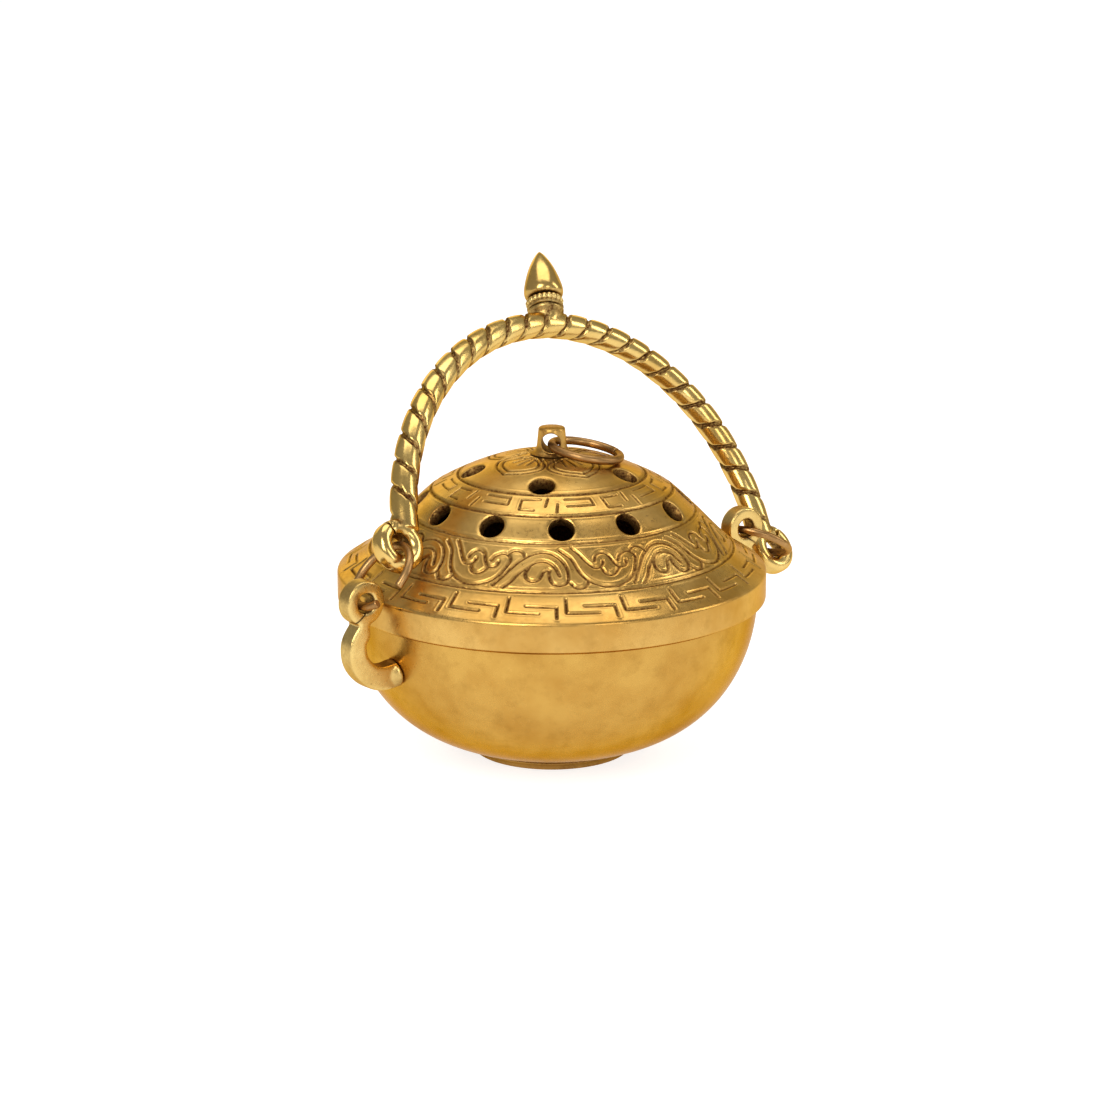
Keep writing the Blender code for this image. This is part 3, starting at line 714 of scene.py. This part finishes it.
HANDLE = JOINTS["handle_swing"]
CHORD = Vector(HANDLE["axis"]).normalized()
HANDLE_LEAN = 33.0
HALF_CHORD = 62.77
ARCH_RADIUS, ARCH_RISE, ARCH_SKEW = 60.0, 62.7, 6.6
ROPE_RADIUS = 3.5
ROPE_STARTS = 2
GROOVE_SPACING = 7.1                   # between neighbouring grooves, along the rope
GROOVE_WIDTH, GROOVE_DEPTH, LOBE_DEPTH = 0.5, 0.62, 0.24
ROPE_FROM = 3.5                        # the rope stops this far short of the chord, in degrees
EYE_RADIUS, EYE_THICKNESS, EYE_EDGE = 6.61, 5.4, 1.9
EYE_HOLE_RADIUS, EYE_MOUTH = 2.65, 1.9
FINIAL_PLACE, FINIAL_TILT = 92.8, 10.2  # where it stands along the arch, and its lean, in degrees
BOSS_TOP, COLLAR_FOOT, BUD_FOOT = 4.3, 4.6, 8.1  # heights from the rope's centre line
STEM_RADIUS, STEM_HOLE_RADIUS = 1.2, 1.5
BEADS = 21


def handle_matrix():
    """The handle's frame in mm: X along the chord, Z up the arch."""
    y_axis = Vector((0.0, 0.0, 1.0)).cross(CHORD).normalized()
    z_axis = CHORD.cross(y_axis)
    square = Matrix((CHORD, y_axis, z_axis)).transposed().to_4x4()
    middle = Vector(HANDLE["pos_m"]) / MM
    return Matrix.Translation(middle) @ square @ Matrix.Rotation(math.radians(-HANDLE_LEAN), 4, "X")


def rope_groove(length, around):
    """Place between two grooves, 0 to 1: the right half's grooves lie squarer to the rope in front."""
    lag = 0.1 + 0.8 / (1 + np.exp(-(length - 95.0) / 12.0))
    turn = ROPE_STARTS * around - lag * np.sin(around + math.pi / 2)
    wander = 0.03 * np.sin(length * 0.31) + 0.02 * np.sin(length * 0.83 + 2 * around)
    return np.mod(length / GROOVE_SPACING - turn / (2 * math.pi) + wander, 1.0)


def rope_profile(length, around, fade):
    """Rope radius and patina at a length along it and an angle around it; fade softens the ends."""
    phase = rope_groove(length, around)
    to_groove = (0.5 - np.abs(phase - 0.5)) * GROOVE_SPACING
    lobe = LOBE_DEPTH * np.exp(-to_groove / 0.9)
    width = GROOVE_WIDTH * (1 + 0.25 * np.sin(length * 1.7 + 3 * around))
    line = np.exp(-(to_groove / width) ** 2)
    step = 0.16 * (phase - 0.5)
    patchy = 0.85 + 0.25 * np.sin(length * 2.9 + 5 * around)
    patina_and_shade = 1.7 * np.exp(-(to_groove / (1.5 * width)) ** 4) * patchy
    sink = lobe + GROOVE_DEPTH * line + np.abs(step) * 0.5 + step * 0.5
    return ROPE_RADIUS - 0.02 - fade * sink, fade * patina_and_shade


def build_bail():
    around = np.linspace(0, 2 * np.pi, 120, endpoint=False)
    angles = np.radians(np.linspace(ROPE_FROM, 180.0 - ROPE_FROM, 1000))
    length = (math.pi - angles) * ARCH_RADIUS
    fade = end_fade(angles)[:, None]
    radius, _ = rope_profile(length[:, None], around[None, :], fade)
    centre, out = arch(angles)
    side = np.array([0.0, 1.0, 0.0])
    offset = np.cos(around)[None, :, None] * out[:, None, :] + np.sin(around)[None, :, None] * side
    bail = tube("bail", centre[:, None, :] + offset * radius[..., None])
    discs, cutters = [], []
    half, core = EYE_THICKNESS / 2, EYE_RADIUS - EYE_EDGE
    rim = arc((core, -half + EYE_EDGE), EYE_EDGE, -90, 0, 9)
    rim += arc((core, half - EYE_EDGE), EYE_EDGE, 0, 90, 9)
    dome = [(0.0, -half - 0.02)] + rim + [(0.0, half + 0.02)]
    stand = Matrix.Rotation(math.pi / 2, 4, "X")
    for sign in (-1, 1):
        eye = Matrix.Translation((sign * HALF_CHORD, 0.0, 0.0))
        discs.append(place(turned("disc", dome, 96), eye @ stand))
        cutters.append(place(rounded_hole(EYE_HOLE_RADIUS, EYE_THICKNESS, EYE_MOUTH), eye @ stand))
        seam = place(box(5.0, 9.0, 0.5), Matrix.Translation((4.6, 0.0, 0.0)))
        notch = place(wedge(), Matrix.Translation((sign * 1.6, 0.0, 4.2)))
        lean = Matrix.Rotation(math.radians(-62.0), 4, "Y")
        mirror = Matrix.Diagonal((sign, 1.0, 1.0, 1.0))
        cutters += [place(seam, eye @ mirror @ lean), place(notch, eye)]
    boss = [(0.0, -1.4), (3.2, -1.4), (3.6, 1.2), (4.2, 2.8), (4.75, 3.7), (4.75, BOSS_TOP), (0.0, BOSS_TOP)]
    seat = place(turned("seat", boss, 64), finial_matrix())
    cut(bail, discs + [seat], "UNION")
    for cutter in cutters:
        outward(cutter)
    stem_place = finial_matrix() @ Matrix.Translation((0, 0, BOSS_TOP))
    cut(bail, cutters + [drill(STEM_HOLE_RADIUS, 6.0, stem_place)])

    def near_ends(points):
        eye = np.minimum(np.hypot(points[:, 0] - HALF_CHORD, points[:, 2]),
                         np.hypot(points[:, 0] + HALF_CHORD, points[:, 2]))
        return np.clip(1.25 - (eye - 7.0) / 4.0, 0.05, 1.0)

    cast_smooth(bail, 0.17, 12, near_ends)
    points = vertices_mm(bail)
    rise = points[:, 2] / ARCH_RISE
    angle = np.arctan2(rise, (points[:, 0] - ARCH_SKEW * rise) / ARCH_RADIUS)
    centre, out = arch(angle)
    turn = np.arctan2(points[:, 1], np.sum((points - centre) * out, axis=1))
    _, patina_and_shade = rope_profile((math.pi - angle) * ARCH_RADIUS, turn, end_fade(angle))
    local = local_points(points, finial_matrix())
    crown = np.exp(-((local[:, 2] - 2.9) / 1.3) ** 2) * (np.hypot(local[:, 0], local[:, 1]) < 5.6)
    for sign in (-1, 1):
        dx, dz = sign * points[:, 0] - HALF_CHORD, points[:, 2]
        v_shape = np.exp(-((dx + 0.4 + 0.25 * (dz - 5.5)) / 1.5) ** 2 - ((dz - 5.6) / 2.1) ** 2)
        patina_and_shade = np.maximum(patina_and_shade, 0.95 * v_shape)
        # Inside each eye's hole: brown patina, plus painted shade
        patina_and_shade = np.maximum(patina_and_shade, 0.9 * (np.hypot(dx, dz) < EYE_HOLE_RADIUS + 0.1))
    set_patina_and_shade(bail, np.maximum(patina_and_shade, 0.8 * crown))
    place(bail, handle_matrix())
    piece(bail, "rope_handle", "handle", "bail", ROPE_GOLD, sharp=60.0)


def arch(angles):
    """Points and outward directions of the rope's centre line, in the handle's frame."""
    cos, sin, flat = np.cos(angles), np.sin(angles), 0.0 * angles
    centre = np.stack([ARCH_RADIUS * cos + ARCH_SKEW * sin, flat, ARCH_RISE * sin], axis=-1)
    out = np.stack([ARCH_RISE * cos, flat, ARCH_RADIUS * sin - ARCH_SKEW * cos], axis=-1)
    return centre, out / np.linalg.norm(out, axis=-1, keepdims=True)


def end_fade(angles):
    """How fully the twist shows: it dies out just above each eye."""
    from_end = np.minimum(angles, math.pi - angles) * ARCH_RADIUS
    return np.clip((from_end - 6.0) / 3.0, 0, 1)


def wedge():
    """A shallow V-shaped notch in the front face, above an eye's hole."""
    front = [(-1.8, -3.6, 3.2), (1.8, -3.6, 3.2), (0.0, -3.6, -2.2)]
    verts = front + [(-1.0, -2.0, 2.4), (1.0, -2.0, 2.4), (0.0, -2.2, -1.4)]
    faces = [[0, 2, 1], [3, 4, 5], [0, 1, 4, 3], [1, 2, 5, 4], [2, 0, 3, 5]]
    obj = new_object("wedge", verts, faces)
    outward(obj)
    return obj


def finial_matrix():
    """The finial's frame in the handle's: from the rope's centre line, Z to the tip."""
    foot, _ = arch(np.radians([FINIAL_PLACE]))
    return Matrix.Translation(Vector(foot[0])) @ Matrix.Rotation(math.radians(FINIAL_TILT), 4, "Y")


def build_finial():
    around = np.linspace(0, 2 * np.pi, 16 * BEADS, endpoint=False)
    section = np.linspace(0, 2 * np.pi, 24, endpoint=False)
    bump = np.abs(np.sin(around * BEADS / 2)) ** 0.6
    size = (0.62 + 0.38 * bump) * (1 + 0.06 * np.sin(3 * around))
    rings = []
    for a, s in zip(around, size):
        radius, height = 4.0 + 1.02 * s * np.cos(section), 2.0 + 1.05 * s * np.sin(section)
        rings.append(np.stack([radius * math.cos(a), radius * math.sin(a), height], axis=-1))
    collar = tube("collar", rings, closed=True)
    base = [(0.0, 0.05), (4.5, 0.05), (4.85, 0.3), (4.8, 0.7), (4.2, 1.0), (3.9, 1.4)]
    base += [(4.0, 2.0), (3.9, 3.0), (0.0, 3.05)]
    cut(collar, [turned("core", base, 96)], "UNION")
    cut(collar, [drill(STEM_HOLE_RADIUS, 12.0, Matrix.Identity(4))])
    cast_smooth(collar, 0.1, 2)
    points = vertices_mm(collar)
    angle = np.arctan2(points[:, 1], points[:, 0])
    between = 1 - np.abs(np.sin(angle * BEADS / 2)) ** 0.5
    inner = np.clip((4.75 - np.hypot(points[:, 0], points[:, 1])) / 0.5, 0, 1)
    low = 0.75 * (points[:, 2] < 1.25)
    set_patina_and_shade(collar, np.maximum(np.maximum(1.1 * between, 0.9 * inner), low))
    place(collar, handle_matrix() @ finial_matrix() @ Matrix.Translation((0, 0, COLLAR_FOOT)))
    piece(collar, "beaded_collar", "handle", "finial_collar", PALE, sharp=50.0)

    profile = [(0.0, -6.1), (STEM_RADIUS, -6.1), (STEM_RADIUS, 0.0), (4.2, 0.0)]
    shape = ((4.55, 0.12), (4.95, 0.6), (5.17, 1.5), (5.1, 2.7), (4.7, 4.6), (4.05, 6.8), (3.3, 8.8),
             (2.45, 10.6), (1.5, 12.2), (0.75, 13.2), (0.25, 13.7))
    profile += [tuple(p) for p in smooth(shape, 5)] + [(0.0, 13.83)]
    bud = turned("bud", profile, 96)
    points = vertices_mm(bud)
    set_patina_and_shade(bud, 0.8 * np.clip(1 - points[:, 2] / 0.9, 0, 1))
    place(bud, handle_matrix() @ finial_matrix() @ Matrix.Translation((0, 0, BUD_FOOT)))
    piece(bud, "bud", "handle", "finial_bud", BUD_GOLD)


# ---------------------------------------------------------------- wire rings and the lid's post

WIRE_RADIUS = 1.05
LINK_RADIUS, LINK_SLIT = 8.8, (239.0, 44.0)
LID_RING_RADIUS, LID_RING_SLIT, LID_RING_DROOP = 8.7, (118.0, 4.0), 10.7
POST_AZIMUTH, POST_HOLE_HEIGHT, POST_HOLE_RADIUS = 229.0, 79.8, 2.4


def wire_ring(name, radius, slit, matrix_mm):
    """A ring of wire in the XY plane; slit is the middle and width of its opening in degrees, or None."""
    around = np.linspace(0, 2 * np.pi, 32, endpoint=False)
    if slit is None:
        turn = np.radians(np.linspace(0, 360, 240, endpoint=False))
        size = np.ones(len(turn))
    else:
        turn = np.radians(np.linspace(slit[0] + slit[1] / 2, slit[0] + 360 - slit[1] / 2, 240))
        from_end = np.minimum(turn - turn[0], turn[-1] - turn) * radius
        size = 1 - 0.16 * np.exp(-from_end / 0.12)
    rings = []
    for a, s in zip(turn, size):
        out = np.array([math.cos(a), math.sin(a), 0.0])
        reach = radius + WIRE_RADIUS * s * np.cos(around)
        rings.append(out * reach[:, None] + np.outer(WIRE_RADIUS * s * np.sin(around), (0.0, 0.0, 1.0)))
    ring = tube(name, rings, closed=slit is None)
    points = vertices_mm(ring)
    set_patina_and_shade(ring, 0.25 + 0.3 * unevenness(points, 5.0, 2.0))
    return place(ring, matrix_mm)


def axes_matrix(origin, x_axis, z_axis):
    """A frame with its X and Z along two directions at right angles."""
    x_axis = x_axis.normalized()
    y_axis = z_axis.cross(x_axis).normalized()
    frame_rows = Matrix((x_axis, y_axis, x_axis.cross(y_axis)))
    return Matrix.Translation(origin) @ frame_rows.transposed().to_4x4()


def build_rings():
    for node, side, slit in (("left_link", -1, LINK_SLIT), ("right_link", 1, None)):
        joint = JOINTS[node + "_turn"]
        azimuth = math.radians(LUG_AZIMUTHS[node.replace("link", "lug")])
        hole = Vector((LUG_CENTRE[0] * math.cos(azimuth), LUG_CENTRE[0] * math.sin(azimuth), LUG_CENTRE[1]))
        handle_eye = Vector(HANDLE["pos_m"]) / MM + side * HALF_CHORD * CHORD
        towards = handle_eye - hole
        matrix = axes_matrix(Vector(joint["pos_m"]) / MM, towards, Vector(joint["axis"]))
        ring = wire_ring(node, LINK_RADIUS, slit, matrix)
        piece(ring, node.replace("link", "wire_link"), node, node, WIRE)

    joint = JOINTS["lid_ring_swing"]
    pivot, axis = Vector(joint["pos_m"]) / MM, Vector(joint["axis"])
    turn = Matrix.Rotation(math.atan2(axis.y, axis.x), 4, "Z")
    droop = Matrix.Rotation(math.radians(-LID_RING_DROOP), 4, "X")
    matrix = Matrix.Translation(pivot) @ turn @ droop @ Matrix.Translation((0.0, LID_RING_RADIUS, 0.0))
    ring = wire_ring("lid_ring", LID_RING_RADIUS, LID_RING_SLIT, matrix)
    piece(ring, "lid_wire_ring", "lid_ring", "lid_ring", WIRE)


def build_post():
    profile = [(0.0, 71.9), (2.2, 72.0), (3.2, 72.7), (3.2, 73.2), (2.0, 73.3), (2.0, 77.0), (5.5, 76.72)]
    flare = smooth(((5.5, 76.8), (4.7, 77.15), (4.05, 77.8), (3.75, 78.8), (3.55, 80.6), (3.35, 82.8)), 6)
    profile += [tuple(p) for p in flare] + [(3.22, 83.15), (3.0, 83.3), (0.0, 83.3)]
    post = turned("post", profile, 96)
    turn = Matrix.Rotation(math.radians(POST_AZIMUTH), 4, "Z")
    through = Matrix.Translation((0, 0, POST_HOLE_HEIGHT)) @ turn @ Matrix.Rotation(math.pi / 2, 4, "Y")
    cut(post, [place(rounded_hole(POST_HOLE_RADIUS, 6.6, 0.35), through)])
    points = vertices_mm(post)
    low = 0.75 * np.clip((78.0 - points[:, 2]) / 1.3, 0, 1)
    sideways = turn.to_3x3() @ Vector((0.0, 1.0, 0.0))
    from_hole = np.hypot(points @ np.array(sideways), points[:, 2] - POST_HOLE_HEIGHT)
    # Inside the post's hole: brown patina, plus painted shade
    in_hole = from_hole < POST_HOLE_RADIUS + 0.1
    top = 0.35 * (points[:, 2] > 83.0)
    set_patina_and_shade(post, np.maximum(np.maximum(low, 0.8 * in_hole), top))
    piece(post, "ring_post", "lid", "lid_post", ENGRAVED, sharp=45.0)


# ---------------------------------------------------------------- setting, light and camera

FLOOR_REACH, SWEEP_RADIUS, BACKDROP_TOP = 8.0, 1.5, 4.0  # metres


def plain_material(name, colour, roughness, glow):
    material = bpy.data.materials.new(name)
    material.use_nodes = True
    shader = material.node_tree.nodes["Principled BSDF"]
    shader.inputs["Base Color"].default_value = (*colour, 1.0)
    shader.inputs["Roughness"].default_value = roughness
    shader.inputs["Emission Color"].default_value = (1.0, 1.0, 1.0, 1.0)
    shader.inputs["Emission Strength"].default_value = glow
    return material


def build_floor():
    """A pale floor that sweeps up into a backdrop far behind the object."""
    reach, sweep = FLOOR_REACH, SWEEP_RADIUS
    run = [(-reach, 0.0), (reach, 0.0)] + arc((reach, sweep), sweep, -90, 0, 12)[1:]
    run.append((reach + sweep, BACKDROP_TOP))
    azimuth = math.radians(VIEW_AZIMUTH)
    across = Vector((math.sin(azimuth), -math.cos(azimuth), 0.0))
    ahead = Vector((math.cos(azimuth), math.sin(azimuth), 0.0))
    verts = [ahead * x + across * side + Vector((0.0, 0.0, z)) for x, z in run for side in (-reach, reach)]
    faces = [[2 * k, 2 * k + 1, 2 * k + 3, 2 * k + 2] for k in range(len(run) - 1)]
    floor = new_object("floor", [v / MM for v in verts], faces)
    floor.data.shade_smooth()
    floor.data.materials.append(plain_material("pale_floor", (0.45, 0.45, 0.45), 0.7, 0.80))


def area_light(name, azimuth, elevation, distance_m, size, power):
    """A rectangular soft light aimed at the censer; angles in degrees, sizes in metres, power in watts."""
    data = bpy.data.lights.new(name, "AREA")
    data.shape = "RECTANGLE"
    data.size, data.size_y = size
    data.energy = power
    light = bpy.data.objects.new(name, data)
    bpy.context.collection.objects.link(light)
    a, e = math.radians(azimuth), math.radians(elevation)
    place_at = Vector((math.cos(a) * math.cos(e), math.sin(a) * math.cos(e), math.sin(e))) * distance_m
    target = Vector((0.0, 0.0, 0.05))
    light.location = target + place_at
    light.rotation_euler = (-place_at).to_track_quat("-Z", "Y").to_euler()


def build_light():
    world = bpy.data.worlds.new("studio")
    world.use_nodes = True
    background = world.node_tree.nodes["Background"]
    background.inputs["Color"].default_value = (0.96, 0.97, 1.0, 1.0)
    background.inputs["Strength"].default_value = 0.40
    bpy.context.scene.world = world
    bpy.context.scene.view_settings.view_transform = "Standard"
    area_light("key", 208.0, 36.0, 0.8, (0.3, 0.5), 3.6)
    area_light("fill", 262.0, 20.0, 0.9, (0.2, 0.45), 1.2)
    area_light("side", 325.0, 28.0, 0.9, (0.16, 0.6), 1.6)
    area_light("top", 53.0, 78.0, 0.9, (0.8, 0.5), 2.8)
    area_light("back", 60.0, 20.0, 1.2, (1.2, 0.5), 1.8)


def build_camera():
    azimuth, elevation = math.radians(VIEW_AZIMUTH), math.radians(-VIEW_ELEVATION)
    flat = math.cos(elevation)
    look = Vector((math.cos(azimuth) * flat, math.sin(azimuth) * flat, math.sin(elevation)))
    right = look.cross(Vector((0.0, 0.0, 1.0))).normalized()
    up = right.cross(look)
    data = bpy.data.cameras.new("camera")
    data.lens = LENS
    data.sensor_width = 36.0
    camera = bpy.data.objects.new("camera", data)
    bpy.context.collection.objects.link(camera)
    camera.location = (VIEW_TARGET - look * VIEW_DISTANCE + up * VIEW_RAISE - right * VIEW_LEFT) * MM
    camera.rotation_euler = look.to_track_quat("-Z", "Y").to_euler()
    bpy.context.scene.camera = camera


build_floor()
build_light()
build_camera()
build_bowl()
build_foot()
build_lugs()
build_lid()
build_post()
build_rings()
build_bail()
build_finial()
